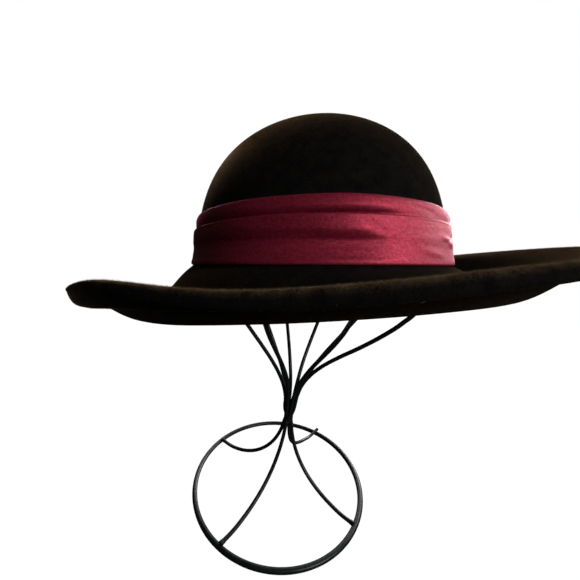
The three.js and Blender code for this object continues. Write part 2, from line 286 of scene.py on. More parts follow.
def brim_at(degrees):
    """The brim's measurements in one upright section."""
    columns = np.array(BRIM, float).T
    sizes = {part: float(around(values, degrees - FRONT)) for part, values in zip(HEIGHTS, columns)}
    for part, how in SWELLS.items():
        sizes[part] = swell(degrees, **how)
    sizes["rim"] += sizes["hump"]
    sizes["cuff"] = CUFF_WIDTH
    return sizes


def brim_height(brim, distance):
    """The brim's upper face: a root that falls to the valley, a slope up, and the folded cuff."""
    valley, cuff, trough, edge, rim = (brim[k] for k in ("valley", "cuff", "trough", "edge", "rim"))
    cuff_line = brim["width"] - cuff
    slope_width = cuff_line - valley
    cuff_slope = (rim - edge) / cuff
    edge_slope = ((edge - trough) / slope_width + cuff_slope) / 2
    root = hermite(distance / valley, 0, brim["fall"] * trough, trough, 0)
    slope = hermite((distance - valley) / slope_width, trough, 0, edge, edge_slope * slope_width)
    fold = hermite((distance - cuff_line) / cuff, edge, edge_slope * cuff, rim, cuff_slope * cuff)
    return np.where(distance < valley, root, np.where(distance < cuff_line, slope, fold))


def evened(points, count, middle, sigma):
    """A line with evenly spaced points, softened around one of its corners."""
    length = np.concatenate([[0], np.cumsum(np.hypot(*np.diff(points, axis=0).T))])
    even = np.linspace(0, length[-1], count)
    line = np.stack([np.interp(even, length, points[:, k]) for k in (0, 1)], axis=-1)
    step = even[1]
    reach = int(4 * sigma / step) + 1
    weights = np.exp(-0.5 * (np.arange(-reach, reach + 1) * step / sigma) ** 2)
    weights /= weights.sum()
    padded = np.pad(line, ((reach, reach), (0, 0)), mode="reflect", reflect_type="odd")
    soft = np.stack([np.convolve(padded[:, k], weights, "valid") for k in (0, 1)], axis=-1)
    corner = length[middle]
    share = np.exp(-((even - corner) / (3.5 * sigma)) ** 2)[:, None]
    return even, line + (soft - line) * share, corner


# Rows of points along a section: over the crown, the brim and its rounded ridge, down the cuff's
# face, and back under the brim and inside the crown.
CROWN_ROWS, BRIM_ROWS, NOSE_ROWS, CUFF_FACE_ROWS, UNDER_ROWS, INNER_ROWS = 56, 44, 11, 16, 34, 38
RIDGE_ROW = CROWN_ROWS + BRIM_ROWS
RAW_ROW = RIDGE_ROW + NOSE_ROWS + CUFF_FACE_ROWS
# A section is first worked out at many points, from a first point beside the crown's pole.
SAMPLES = {"crown": 260, "brim": 160, "even": 700}
FIRST_ANGLE = 0.35
ROOT_SOFTNESS = 2.4
# How far the crest reaches in from the rim, and how the cuff's fullness and thickness grow on it.
CREST_REACH = 9
PROUD_CURVE, ROLL_CURVE = 0.85, 1.5
LIP = {"width": 4.0, "flare": 1.0}
# A place where the cuff's raw edge has come up a little, with a painted highlight some rows before and past
# the edge.
NICK = {"turn": 280.6, "width": 0.6, "lift": 1.8, "wear_and_painted_light": 2.5, "rows": (2, 3)}
# The raw edge: distance beyond the cuff line along the felt, and depth below the upper face.
RAW_EDGE = [(0.55, 5.45), (0.2, 5.3), (-0.05, 4.9), (-0.15, 4.2), (-0.1, 3.3), (0.0, 2.6), (0.25, 1.95),
            (-0.35, 2.0), (-1.0, 2.2)]
# Deeper than this the raw edge comes up with the nick. Its line wavers a little round the hat.
LIFTED_DEPTH = 2.6
RAW_WAVER = {"seed": 11, "rise": 0.25, "softness": (1, 5)}


def felt_section(degrees, raw_shift, lift=0.0):
    """The outline of the felt in one upright section, as (distance from the axis, height)."""
    polar_angles = np.linspace(FIRST_ANGLE, 90, SAMPLES["crown"])
    crown = np.stack(dome_point(degrees, polar_angles), axis=-1)
    sizes = brim_at(degrees)
    distances = np.linspace(0, sizes["width"], SAMPLES["brim"])[1:]
    brim = np.stack([oval_radius(degrees) + distances, brim_height(sizes, distances)], axis=-1)
    s, line, root = evened(np.vstack([crown, brim]), SAMPLES["even"], len(crown) - 1, ROOT_SOFTNESS)
    along = np.gradient(line, s, axis=0)
    along /= np.linalg.norm(along, axis=1)[:, None]
    inward = np.stack([along[:, 1], -along[:, 0]], axis=-1)
    rim = s[-1]
    reach = line[:, 0] - oval_radius(degrees)
    cuff = np.interp(sizes["width"] - sizes["cuff"], reach[s > root], s[s > root]) + raw_shift

    def at(place, depth):
        place, depth = np.broadcast_arrays(np.asarray(place, float), np.asarray(depth, float))
        base = np.stack([np.interp(place, s, line[:, k]) for k in (0, 1)], axis=-1)
        normal = np.stack([np.interp(place, s, inward[:, k]) for k in (0, 1)], axis=-1)
        return base + normal * depth[:, None]

    upper_places = np.concatenate([np.linspace(0, root, CROWN_ROWS, endpoint=False),
                                   np.linspace(root, rim, BRIM_ROWS)])
    crest = CREST * sizes["bulge"]
    upper = at(upper_places, crest * np.clip(1 - (rim - upper_places) / CREST_REACH, 0, 1) ** 2)
    turn = np.linspace(0, np.pi, NOSE_ROWS + 2)[1:-1]
    half = (ROLL_THICKNESS - crest) / 2
    nose = at(np.full(NOSE_ROWS, rim), crest + half - half * np.cos(turn))
    nose += along[-1] * NOSE * (1 - NOSE_LOSS * sizes["bulge"]) * np.sin(turn)[:, None]
    face_places = np.linspace(rim, cuff + RAW_EDGE[0][0], CUFF_FACE_ROWS, endpoint=False)
    share = (face_places - cuff) / (rim - cuff)
    flare = (LIP["flare"] + lift) * np.clip(1 - (face_places - cuff) / LIP["width"], 0, 1) ** 2
    proud = sizes["bulge"] * np.sin(np.pi * np.clip(share, 0, 1) ** PROUD_CURVE)
    depth = CUFF_THICKNESS + (ROLL_THICKNESS - CUFF_THICKNESS) * np.clip(share, 0, 1) ** ROLL_CURVE
    face = at(face_places, depth + flare + proud)
    raw = at([cuff + beyond for beyond, _ in RAW_EDGE],
             [depth + lift * (depth > LIFTED_DEPTH) for _, depth in RAW_EDGE])
    under = at(np.concatenate([np.linspace(cuff + RAW_EDGE[-1][0], root, UNDER_ROWS)[1:],
                               np.linspace(root, 0, INNER_ROWS)[1:]]), FELT)
    return np.vstack([upper, nose, face, raw, under])


def felt_hat():
    rng = np.random.default_rng(RAW_WAVER["seed"])
    degrees = np.arange(COLUMNS) * 360.0 / COLUMNS
    raw_shift = RAW_WAVER["rise"] * soft_noise(rng, (1, COLUMNS), RAW_WAVER["softness"])[0]
    lift = NICK["lift"] * np.exp(-((degrees - NICK["turn"]) / NICK["width"]) ** 2)
    rings = []
    for turn, shift, raised in zip(degrees, raw_shift, lift):
        outline = felt_section(turn, shift, raised)
        rings.append(polar(outline[:, 0], outline[:, 1], turn))
    rings = np.stack(rings, axis=1)
    poles = [(0, 0, CROWN_HEIGHT), (0, 0, CROWN_HEIGHT - FELT)]
    return shell_from_rings("felt_hat", on_hat(rings), on_hat(poles))


# ---- wear, painted light and shade, and nap of the felt ----

# Rows beyond the ridge from which the felt gets a shaded copy of its material, with less sheen, so the
# cuff's face and the under side read darker.
SHADED_ROWS = 4
# How pale the felt is painted, row by row: rubbed wear and a painted highlight towards the ridge of the
# brim and beyond it, and a painted highlight from some rows before the raw edge.
WEAR_AND_HIGHLIGHT_BEFORE, WEAR_AND_HIGHLIGHT_BEYOND = (0.06, 0.16, 0.4, 0.8), (1.0, 0.9, 0.6, 0.3, 0.12)
# The raw edge's rows get a painted highlight, a pale line along the edge.
RAW_EDGE_HIGHLIGHT, RAW_EDGE_HIGHLIGHT_BEFORE = (0.1, 0.3, 0.5, 0.6, 0.6, 0.5, 0.3), 3
# Painted light on the brim's left tip: there the whole cuff is painted pale, to some rows past its raw
# edge.
TIP_PAINTED_LIGHT = {"turn": 209.0, "width": 17.0, "share": 0.6, "past_raw": 4}


def shade_under_side(hat):
    """The felt's upper face gets the lit felt; the cuff's face and the under side get a shaded copy with
    less sheen, so they read darker.
    """
    for face in hat.data.polygons:
        row = min(face.vertices) // COLUMNS
        face.material_index = int(row >= RIDGE_ROW + SHADED_ROWS)


def add_wear_and_painted_light(hat):
    """Store how pale the felt is painted at each of its points: wear and a painted highlight on the ridge,
    painted highlights at the raw edge and its nick, and painted light on the brim's left tip. The last two
    are the crown's poles.
    """
    rows = len(hat.data.vertices) // COLUMNS
    share = np.zeros(rows)
    share[RIDGE_ROW - len(WEAR_AND_HIGHLIGHT_BEFORE):RIDGE_ROW] = WEAR_AND_HIGHLIGHT_BEFORE
    share[RIDGE_ROW:RIDGE_ROW + len(WEAR_AND_HIGHLIGHT_BEYOND)] = WEAR_AND_HIGHLIGHT_BEYOND
    edge = RAW_ROW - RAW_EDGE_HIGHLIGHT_BEFORE
    share[edge:edge + len(RAW_EDGE_HIGHLIGHT)] = RAW_EDGE_HIGHLIGHT
    turns = np.arange(COLUMNS) * 360.0 / COLUMNS
    # Painted light on the brim's left tip, over the whole cuff.
    tip_light = TIP_PAINTED_LIGHT["share"] * np.exp(-((turns - TIP_PAINTED_LIGHT["turn"]) / TIP_PAINTED_LIGHT["width"]) ** 2)
    cuff = np.zeros(rows)
    cuff[RIDGE_ROW:RAW_ROW + TIP_PAINTED_LIGHT["past_raw"]] = 1.0
    share = np.maximum(share[:, None], cuff[:, None] * tip_light)
    # A painted highlight at the nick in the raw edge.
    nick = NICK["wear_and_painted_light"] * np.exp(-((turns - NICK["turn"]) / NICK["width"]) ** 2)
    share[RAW_ROW - NICK["rows"][0]:RAW_ROW + NICK["rows"][1]] += nick
    wear_and_painted_light = hat.data.attributes.new("wear_and_painted_light", "FLOAT", "POINT")
    wear_and_painted_light.data.foreach_set("value", np.append(share.ravel(), [0.0, 0.0]))


# Hairs: length and width (mm), number on a square millimetre of the thickest nap, lean and seed.
NAP = {"length": 0.8, "width": 0.07, "density": 10.5, "lean": 0.55, "seed": 5}
# How thick the nap stands on the flats and at the raw edge, and row by row before and beyond the
# ridge of the brim. At the crown's two poles: outside, and none inside.
NAP_FLATS = {"crown": 0.012, "brim": 0.008, "cuff": 0.01, "raw": 0.12}
NAP_BEFORE, NAP_BEYOND = (0.1, 0.5, 1.0), (1.0, 0.7, 0.3, 0.1, 0.03)
NAP_POLES = [0.1, 0.0]


def nap_thickness(rows):
    """How thick the nap stands in each row: 1 on the worn ridge, and less on the flats."""
    before, beyond = RIDGE_ROW - len(NAP_BEFORE), RIDGE_ROW + len(NAP_BEYOND)
    share = np.zeros(rows)
    share[:CROWN_ROWS] = NAP_FLATS["crown"]
    share[CROWN_ROWS:before] = NAP_FLATS["brim"]
    share[before:RIDGE_ROW] = NAP_BEFORE
    share[RIDGE_ROW:beyond] = NAP_BEYOND
    share[beyond:RAW_ROW] = NAP_FLATS["cuff"]
    share[RAW_ROW - 1:RAW_ROW + len(RAW_EDGE)] = NAP_FLATS["raw"]
    return share


def nap_tree():
    """Geometry nodes that set fine tapered hairs all over a surface, thickest where its nap is."""
    tree = bpy.data.node_groups.new("nap", "GeometryNodeTree")
    tree.interface.new_socket("Cloth", in_out="INPUT", socket_type="NodeSocketGeometry")
    sockets = {}
    for name, kind in (("Density", "NodeSocketFloat"), ("Length", "NodeSocketFloat"),
                       ("Width", "NodeSocketFloat"), ("Lean", "NodeSocketFloat"),
                       ("Seed", "NodeSocketInt"), ("Finish", "NodeSocketMaterial")):
        sockets[name] = tree.interface.new_socket(name, in_out="INPUT", socket_type=kind).identifier
    tree.interface.new_socket("Hairs", in_out="OUTPUT", socket_type="NodeSocketGeometry")
    start = tree.nodes.new("NodeGroupInput")
    share = add(tree, "GeometryNodeInputNamedAttribute", {"Name": "nap"}, data_type="FLOAT")
    amount = add(tree, "ShaderNodeMath", {0: share.outputs["Attribute"], 1: start.outputs["Density"]},
                 operation="MULTIPLY")
    roots = add(tree, "GeometryNodeDistributePointsOnFaces", {
        "Mesh": start.outputs["Cloth"], "Density": amount.outputs["Value"], "Seed": start.outputs["Seed"]})
    hair = add(tree, "GeometryNodeMeshCone", {
        "Vertices": 3, "Radius Top": 0.0, "Radius Bottom": start.outputs["Width"],
        "Depth": start.outputs["Length"]}, fill_type="NONE")
    aside = add(tree, "FunctionNodeRandomValue", {
        0: (-1.0, -1.0, -1.0), 1: (1.0, 1.0, 1.0), "Seed": start.outputs["Seed"]},
        data_type="FLOAT_VECTOR")
    leaning = add(tree, "ShaderNodeVectorMath", {
        0: aside.outputs[0], "Scale": start.outputs["Lean"]}, operation="SCALE")
    ahead = add(tree, "ShaderNodeVectorMath", {0: roots.outputs["Normal"], 1: leaning.outputs[0]},
                operation="ADD")
    turned = add(tree, "FunctionNodeAlignRotationToVector", {"Vector": ahead.outputs[0]}, axis="Z")
    sizes = add(tree, "FunctionNodeRandomValue", {2: 0.45, 3: 1.0, "Seed": start.outputs["Seed"]},
                data_type="FLOAT")
    placed_hairs = add(tree, "GeometryNodeInstanceOnPoints", {
        "Points": roots.outputs["Points"], "Instance": hair.outputs["Mesh"],
        "Rotation": turned.outputs["Rotation"], "Scale": sizes.outputs[1]})
    real = add(tree, "GeometryNodeRealizeInstances", {"Geometry": placed_hairs.outputs["Instances"]})
    dyed = add(tree, "GeometryNodeSetMaterial", {
        "Geometry": real.outputs["Geometry"], "Material": start.outputs["Finish"]})
    end = tree.nodes.new("NodeGroupOutput")
    tree.links.new(dyed.outputs["Geometry"], end.inputs["Hairs"])
    return tree, sockets


def felt_nap(hat, material):
    rows = len(hat.data.vertices) // COLUMNS
    thickness = np.append(np.repeat(nap_thickness(rows), COLUMNS), NAP_POLES)
    nap = hat.data.attributes.new("nap", "FLOAT", "POINT")
    nap.data.foreach_set("value", thickness)
    tree, sockets = nap_tree()
    modifier = hat.modifiers.new("nap", "NODES")
    modifier.node_group = tree
    modifier[sockets["Density"]] = NAP["density"] * 1e6
    modifier[sockets["Length"]] = NAP["length"] * MM
    modifier[sockets["Width"]] = NAP["width"] * MM / 2
    modifier[sockets["Lean"]] = NAP["lean"]
    modifier[sockets["Seed"]] = NAP["seed"]
    modifier[sockets["Finish"]] = material
    made = bpy.data.meshes.new_from_object(hat.evaluated_get(bpy.context.evaluated_depsgraph_get()))
    made.name = "felt_nap"
    hat.modifiers.remove(modifier)
    hat.data.attributes.remove(hat.data.attributes["nap"])
    piece = bpy.data.objects.new("felt_nap", made)
    bpy.context.scene.collection.objects.link(piece)
    return piece


# ---- shape of the satin band ----

BAND_THICKNESS = 0.4
# The ribbon is pleated: it shows about two thirds of its width.
BAND_COLUMNS = 400
BAND_STEPS = 4
# Degrees over which the sections run into each other.
BAND_SOFTNESS = 5.0
# Seeded ripples: the rise of each, and how soft it is along the section and round the hat.
BAND_SEED = 23
BAND_RIPPLES = [(0.13, (3.0, 9.0)), (0.05, (2.2, 2.6))]
# The stand-off from the felt beyond which ripples and wrinkles set in, over one millimetre.
BAND_SHOWN = 1.3
# Each row is a section of the band: heights of its top edge, of the pleat's fold and of the soft
# crease, then how far parts stand off the felt: the upper panel's fullness, the hollow above the
# fold, the fold's lip, the lower panel's fullness, the dip under the crease and the hem.
BAND_SECTIONS = [
    # angle, top, fold, crease, full, hollow, lip, lower, dip, hem
    (-180, 34.8, 24.6, 17.0, 2.0, 1.5, 2.8, 2.8, 2.0, 2.2),
    (-150, 35.2, 25.0, 17.6, 2.3, 1.2, 3.1, 3.0, 1.5, 2.3),
    (-125, 35.5, 25.4, 17.4, 2.5, 1.0, 3.3, 3.2, 1.2, 2.4),
    (-105, 35.6, 25.4, 17.0, 2.8, 0.9, 3.6, 3.5, 1.1, 2.6),
    (-96, 35.5, 25.3, 16.4, 3.1, 0.4, 4.4, 4.2, 0.4, 2.6),
    (-86, 35.4, 25.2, 16.2, 3.7, 0.0, 5.2, 4.6, 0.1, 2.6),
    (-77, 35.1, 25.2, 16.0, 4.0, 0.1, 5.2, 4.5, 0.3, 2.6),
    (-70, 34.8, 25.2, 16.0, 3.6, 1.0, 4.1, 3.5, 2.4, 2.6),
    (-64, 34.5, 25.2, 16.0, 2.9, 2.3, 2.9, 3.1, 2.8, 2.5),
    (-55, 34.2, 25.1, 15.8, 2.6, 2.1, 2.8, 3.0, 2.8, 2.5),
    (-40, 33.4, 24.8, 15.6, 2.5, 1.7, 2.9, 2.9, 2.5, 2.4),
    (-15, 32.6, 24.4, 16.0, 2.3, 1.5, 2.9, 2.8, 2.0, 2.3),
    (30, 33.6, 24.4, 16.6, 2.2, 1.5, 2.8, 2.8, 1.8, 2.2),
    (90, 34.5, 24.6, 17.0, 2.2, 1.5, 2.9, 2.9, 1.7, 2.2),
    (145, 34.5, 24.6, 16.8, 2.0, 1.5, 2.8, 2.8, 1.9, 2.2),
]
# Soft wrinkles that run aslant: where each starts and ends (angle, height), its width and rise.
BAND_WRINKLES = [
    ((-50, 17), (-34, 11), 1.9, 0.7),
    ((-47, 12), (-30, 18), 1.6, -0.5),
    ((-60, 9), (-44, 4), 1.8, 0.4),
    ((-62, 31), (-48, 28), 1.2, -0.45),
    ((-38, 30), (-20, 27), 1.3, 0.5),
    ((-78, 22), (-66, 13), 2.2, -0.4),
    ((-101, 13), (-88, 18), 2.0, -0.45),
    ((-112, 31), (-98, 33), 1.4, -0.35),
    ((-122, 21), (-108, 19), 1.5, 0.3),
    ((-140, 11), (-120, 8), 2.0, -0.35),
    ((10, 12), (34, 17), 2.0, -0.45),
    ((48, 30), (70, 28), 1.4, 0.4),
    ((88, 9), (112, 15), 2.0, 0.4),
    ((150, 19), (172, 12), 2.0, -0.4),
    ((-172, 30), (-156, 33), 1.4, 0.35),
]


def band_course(column, degrees):
    """One column of the table as a smooth closed course around the hat."""
    rows = sorted(BAND_SECTIONS)
    angles = [row[0] for row in rows]
    values = [row[column] for row in rows]
    fine = np.arange(-180, 180, 1.0)
    course = np.interp(fine, angles + [angles[0] + 360], values + [values[0]])
    waves = np.fft.rfft(course)
    waves *= np.exp(-0.5 * (np.arange(len(waves)) * 2 * np.pi * BAND_SOFTNESS / 360) ** 2)
    course = np.fft.irfft(waves, len(fine))
    place = (np.asarray(degrees) + 180) % 360
    return np.interp(place, np.arange(361.0), np.append(course, course[0]))


def band_path(top, fold, crease, full, hollow, lip, lower, dip, hem):
    """The ribbon's course in one section, from its hidden lower edge to its hidden upper edge,
    as (stand-off, height)."""
    return np.array([
        (0.6, 5.0), (0.6, 2.0), (0.9, 0.6), (hem - 0.7, 0.1), (hem, 0.7), (hem + 0.15, 2.2),
        ((2 * hem + dip) / 3, 4.4), ((hem + 2 * dip) / 3, crease * 0.44), (dip, crease * 0.62),
        (dip + 0.25, crease * 0.78), ((lower + dip) / 2 + 0.2, crease * 0.92),
        (lower - 0.2, crease * 1.07),
        ((lower + lip) / 2, (crease + fold) / 2 + 0.5), (lip, fold - 1.9),
        (lip + 0.05, fold - 0.8), (lip - 0.45, fold - 0.1), (lip - 1.0, fold - 0.8),
        (hollow + 0.5, fold - 2.6), (hollow + 0.35, fold - 4.2), (hollow - 0.2, fold - 4.9),
        (hollow - 0.45, fold - 4.0), (hollow - 0.2, fold - 1.5), (hollow, fold + 0.5),
        ((hollow + 2 * full) / 3 - 0.2, fold + (top - fold) * 0.22),
        (full - 0.1, fold + (top - fold) * 0.42),
        (full, fold + (top - fold) * 0.66),
        (full - 0.25, top - 1.1), (full - 0.75, top - 0.25), (full - 1.35, top - 0.7), (0.7, top - 2.4),
        (0.6, top - 4.5),
    ])


def slant_wrinkles(degrees, heights):
    """How far the aslant wrinkles raise the band at these heights of one section."""
    reach = float(oval_radius(degrees)) * math.pi / 180
    total = np.zeros(len(heights))
    for (a0, h0), (a1, h1), width, rise in BAND_WRINKLES:
        across = ((degrees - a0 + 180) % 360 - 180) * reach
        run, climb = (a1 - a0) * reach, h1 - h0
        length = math.hypot(run, climb)
        share = (across * run + (heights - h0) * climb) / length ** 2
        aside = (across * climb - (heights - h0) * run) / length
        ends = np.clip(1 - (2 * share - 1) ** 2, 0, 1)
        total += rise * ends * np.exp(-(aside / width) ** 2)
    return total


def satin_band():
    rng = np.random.default_rng(BAND_SEED)
    degrees = np.arange(BAND_COLUMNS) * 360.0 / BAND_COLUMNS
    columns = range(1, len(BAND_SECTIONS[0]))
    settings = np.stack([band_course(k, degrees) for k in columns], axis=-1)
    shape = len(smooth_course(band_path(*settings[0]), BAND_STEPS)), BAND_COLUMNS
    ripples = sum(rise * soft_noise(rng, shape, softness) for rise, softness in BAND_RIPPLES)
    rings, lengths = [], []
    for i, turn in enumerate(degrees):
        path = smooth_course(band_path(*settings[i]), BAND_STEPS)
        along = np.gradient(path, axis=0)
        along /= np.linalg.norm(along, axis=1)[:, None]
        outward = np.stack([along[:, 1], -along[:, 0]], axis=-1)
        shown = np.clip(path[:, 0] - BAND_SHOWN, 0, 1)
        raised = ripples[:, i] + slant_wrinkles(turn, path[:, 1])
        path = path + outward * (raised * shown)[:, None]
        back = path - outward * BAND_THICKNESS
        outline = np.vstack([path, back[::-1]])
        reach = crown_radius(turn, outline[:, 1]) + outline[:, 0]
        rings.append(polar(reach, outline[:, 1], turn))
        lengths.append(np.concatenate([[0], np.cumsum(np.hypot(*np.diff(outline, axis=0).T))]))
    rings = np.stack(rings, axis=1)
    return shell_from_rings("satin_ribbon", on_hat(rings), along=np.mean(lengths, axis=0))


# ---- shape of the stand ----

def leg_reach(height):
    """How far a leg is from the axis at a height."""
    share = ((height - LEG_CURVE["low"]) / LEG_CURVE["rise"]) ** LEG_CURVE["hollow"]
    return LEG_CURVE["foot"] + LEG_CURVE["span"] * (1 - share) ** (1 / LEG_CURVE["hollow"])


def leg_course(leg):
    points = []
    into_ring = LEG_ENDS["into_ring"] if leg["bead"] else 0.0
    foot, top = (leg["tip"] + into_ring, leg["rest"]), (LEG_ENDS["reach"], LEG_ENDS["height"])
    for reach, height in [foot] + [(leg_reach(level), level) for level in LEG_LEVELS] + [top]:
        inward = 1 - reach / leg["tip"]
        point = polar(reach, height, leg["angle"] + leg["sweep"] * inward)
        points.append(point + np.array([NECK["x"], NECK["y"], 0]) * inward)
    return smooth_course(points, WIRE_STEPS)


def cage_centre(height):
    """The cage's axis leans from the neck's middle to the hat's."""
    share = (height - NECK["high"]) / (HAT_AT[2] - NECK["high"])
    neck = np.array([NECK["x"], NECK["y"], 0])
    return neck + (HAT_AT * (1, 1, 0) - neck) * share


CAGE_HEIGHT = CROWN_HEIGHT - FELT - HUB["clearance"] - HUB["thickness"] / 2


def eased(value, start, end):
    t = np.clip((value - start) / (end - start), 0, 1)
    return t * t * (3 - 2 * t)


def rib_reach(height, delay):
    """How far a rib is from the cage's axis at a height, before its spread."""
    low, high = RIB_CURVE["low"], RIB_CURVE["high"]
    share = ((height - low) / (high - low)) ** delay
    return RIB_CURVE["start"] + (RIB_CURVE["end"] - RIB_CURVE["start"]) * eased(share, 0, 1)


def rib_course(number, rib):
    start = RIB_START + RIB_STEP * number
    neck = cage_centre(NECK["high"])
    points = [polar(NECK["bundle"], height, start) + neck for height in RIB_ROOTS]
    for height in RIB_LEVELS:
        wide = rib_reach(height, rib["delay"]) * (1 + (rib["spread"] - 1) * eased(height, *SPREADS))
        degrees = start + rib["turn"] * eased(height, *TURNS)
        points.append(polar(wide, height, degrees) + cage_centre(height))
    degrees = start + rib["turn"]
    hidden = [dome_point(degrees, level, CAGE_WIDTH, CAGE_HEIGHT) for level in CAGE_LEVELS]
    hidden.append((HUB["radius"] - INTO_HUB, CAGE_HEIGHT))
    points += [on_hat(polar(reach, height, degrees)) for reach, height in hidden]
    return smooth_course(points, WIRE_STEPS)


def leg_fullness(leg, course):
    """The weld bead at a leg's foot swells the wire."""
    away = np.concatenate([[0], np.cumsum(np.linalg.norm(np.diff(course, axis=0), axis=1))])
    return 1 + leg["bead"] * np.exp(-(away / LEG_ENDS["bead_length"]) ** 2)


def ring_fullness(turns):
    """The ring's wire is thicker where its ends are welded together."""
    facing = np.clip(np.cos(np.radians(turns - RING_SEAM["angle"])), 0, 1)
    return 1 + RING_SEAM["more"] * facing ** 2


RING_TURNS = np.arange(RING_STEPS) * 360.0 / RING_STEPS


def ring_course():
    return polar(RING_RADIUS, RING_WIRE / 2 * ring_fullness(RING_TURNS), RING_TURNS)


def wire_tree():
    """Geometry nodes that turn a line of edges into round wire."""
    tree = bpy.data.node_groups.new("round_wire", "GeometryNodeTree")
    tree.interface.new_socket("Course", in_out="INPUT", socket_type="NodeSocketGeometry")
    radius = tree.interface.new_socket("Radius", in_out="INPUT", socket_type="NodeSocketFloat")
    radius.default_value = WIRE / 2 * MM
    finish = tree.interface.new_socket("Finish", in_out="INPUT", socket_type="NodeSocketMaterial")
    tree.interface.new_socket("Wire", in_out="OUTPUT", socket_type="NodeSocketGeometry")
    start = tree.nodes.new("NodeGroupInput")
    section = add(tree, "GeometryNodeCurvePrimitiveCircle", {
        "Resolution": 16, "Radius": start.outputs["Radius"]})
    curve = add(tree, "GeometryNodeMeshToCurve", {"Mesh": start.outputs["Course"]})
    fullness = add(tree, "GeometryNodeInputNamedAttribute", {"Name": "fullness"}, data_type="FLOAT")
    body = add(tree, "GeometryNodeCurveToMesh", {
        "Curve": curve.outputs["Curve"], "Profile Curve": section.outputs["Curve"],
        "Scale": fullness.outputs["Attribute"], "Fill Caps": True})
    smooth = add(tree, "GeometryNodeSetShadeSmooth", {"Geometry": body.outputs["Mesh"]})
    real = add(tree, "GeometryNodeRealizeInstances", {"Geometry": smooth.outputs["Geometry"]})
    painted = add(tree, "GeometryNodeSetMaterial", {
        "Geometry": real.outputs["Geometry"], "Material": start.outputs["Finish"]})
    end = tree.nodes.new("NodeGroupOutput")
    tree.links.new(painted.outputs["Geometry"], end.inputs["Wire"])
    return tree, radius.identifier, finish.identifier


def wire_piece(name, course, thickness, material, closed=False, fullness=None):
    tree, radius_id, finish_id = ROUND_WIRE
    mesh = bpy.data.meshes.new(name + "_course")
    count = len(course)
    edges = [(i, i + 1) for i in range(count - 1)] + ([(count - 1, 0)] if closed else [])
    mesh.from_pydata([tuple(p) for p in in_frame(course)], edges, [])
    swelling = mesh.attributes.new("fullness", "FLOAT", "POINT")
    swelling.data.foreach_set("value", np.ones(count) if fullness is None else fullness)
    guide = bpy.data.objects.new(name + "_course", mesh)
    bpy.context.scene.collection.objects.link(guide)
    modifier = guide.modifiers.new("wire", "NODES")
    modifier.node_group = tree
    modifier[radius_id] = thickness / 2 * MM
    modifier[finish_id] = material
    made = bpy.data.meshes.new_from_object(guide.evaluated_get(bpy.context.evaluated_depsgraph_get()))
    made.name = name
    bpy.data.objects.remove(guide)
    piece = bpy.data.objects.new(name, made)
    bpy.context.scene.collection.objects.link(piece)
    return piece


# ---- nodes and materials ----

def add(tree, kind, inputs=None, **settings):
    """A new node, with its settings, and with a value or a link for each named input."""
    node = tree.nodes.new(kind)
    for key, value in settings.items():
        setattr(node, key, value)
    for key, value in (inputs or {}).items():
        if isinstance(value, bpy.types.NodeSocket):
            tree.links.new(value, node.inputs[key])
        else:
            node.inputs[key].default_value = value
    return node


def grain_group():
    """Mottle and grain: two sizes of irregular detail in one mask and one height."""
    tree = bpy.data.node_groups.new("cloth_grain", "ShaderNodeTree")
    for name, kind in (("Vector", "NodeSocketVector"), ("Mottle Scale", "NodeSocketFloat"),
                       ("Grain Scale", "NodeSocketFloat")):
        tree.interface.new_socket(name, in_out="INPUT", socket_type=kind)
    for name in ("Mask", "Height"):
        tree.interface.new_socket(name, in_out="OUTPUT", socket_type="NodeSocketFloat")
    start = tree.nodes.new("NodeGroupInput")
    mottle = add(tree, "ShaderNodeTexNoise", {
        "Vector": start.outputs["Vector"], "Scale": start.outputs["Mottle Scale"], "Detail": 5.0,
        "Roughness": 0.6})
    grain = add(tree, "ShaderNodeTexNoise", {
        "Vector": start.outputs["Vector"], "Scale": start.outputs["Grain Scale"], "Detail": 4.0,
        "Roughness": 0.7, "Distortion": 1.5})
    mask = add(tree, "ShaderNodeMath", {0: mottle.outputs["Fac"], 1: grain.outputs["Fac"]},
               operation="MULTIPLY")
    spread = add(tree, "ShaderNodeMapRange", {
        "Value": mask.outputs["Value"], "From Min": 0.12, "From Max": 0.42, "To Min": 0.0, "To Max": 1.0})
    end = tree.nodes.new("NodeGroupOutput")
    tree.links.new(spread.outputs["Result"], end.inputs["Mask"])
    tree.links.new(grain.outputs["Fac"], end.inputs["Height"])
    return tree


def weave_group():
    """Fine threads of a satin: long floats across the cloth, broken by thin crossing threads."""
    tree = bpy.data.node_groups.new("satin_threads", "ShaderNodeTree")
    tree.interface.new_socket("Vector", in_out="INPUT", socket_type="NodeSocketVector")
    tree.interface.new_socket("Thread Scale", in_out="INPUT", socket_type="NodeSocketFloat")
    for name in ("Height", "Mask"):
        tree.interface.new_socket(name, in_out="OUTPUT", socket_type="NodeSocketFloat")
    start = tree.nodes.new("NodeGroupInput")
    floats = add(tree, "ShaderNodeTexWave", {
        "Vector": start.outputs["Vector"], "Scale": start.outputs["Thread Scale"], "Distortion": 1.5,
        "Detail": 2.0, "Detail Scale": 0.6}, wave_type="BANDS", bands_direction="Y")
    crossing = add(tree, "ShaderNodeTexWave", {
        "Vector": start.outputs["Vector"], "Scale": start.outputs["Thread Scale"], "Distortion": 4.0,
        "Detail": 2.0, "Detail Scale": 1.5}, wave_type="BANDS", bands_direction="X")
    slubs = add(tree, "ShaderNodeTexNoise", {
        "Vector": start.outputs["Vector"], "Scale": start.outputs["Thread Scale"], "Detail": 3.0,
        "Roughness": 0.65})
    both = add(tree, "ShaderNodeMath", {0: floats.outputs["Fac"], 1: crossing.outputs["Fac"]},
               operation="MULTIPLY")
    end = tree.nodes.new("NodeGroupOutput")
    tree.links.new(both.outputs["Value"], end.inputs["Height"])
    tree.links.new(slubs.outputs["Fac"], end.inputs["Mask"])
    return tree


